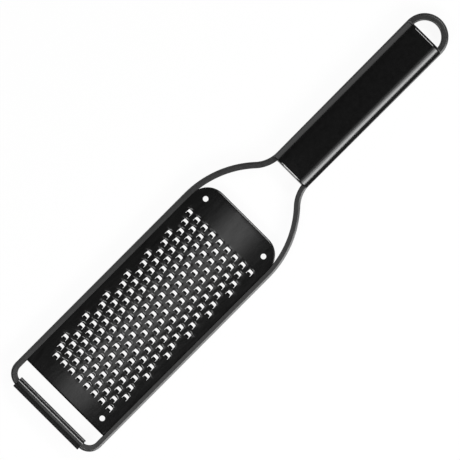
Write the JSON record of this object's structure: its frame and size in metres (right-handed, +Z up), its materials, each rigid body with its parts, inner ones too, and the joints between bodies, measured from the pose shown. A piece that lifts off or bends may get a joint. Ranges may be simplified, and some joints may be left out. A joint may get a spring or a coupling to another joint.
{
  "type": "coarse grater",
  "caption": "Flat paddle grater: bent-bar frame, blade of bent-up cutting tongues, slim two-shell handle, hanging loop and a rubber foot to steady it on a board.",
  "frame": {"origin": "under the middle of the overall length, on the axis, on the plane that the foot and the handle rest on", "axes": "+X along the tool from the foot to the hanging loop, +Z up on the side that the teeth stand on, +Y to the left when looking from the foot to the loop"},
  "size_m": [0.324, 0.069, 0.012],
  "materials": {
    "frame_coating": "satin black coating on steel",
    "blade_coating": "smooth semi-gloss black coating on etched steel sheet",
    "handle_coating": "semi-gloss black coating on pressed steel",
    "foot_rubber": "matt black rubber"
  },
  "bodies": {
    "root": {"frame": "frame_coating", "blade": "blade_coating", "handle_upper_shell": "handle_coating", "handle_lower_shell": "handle_coating", "foot": "foot_rubber"}
  },
  "joints": []
}
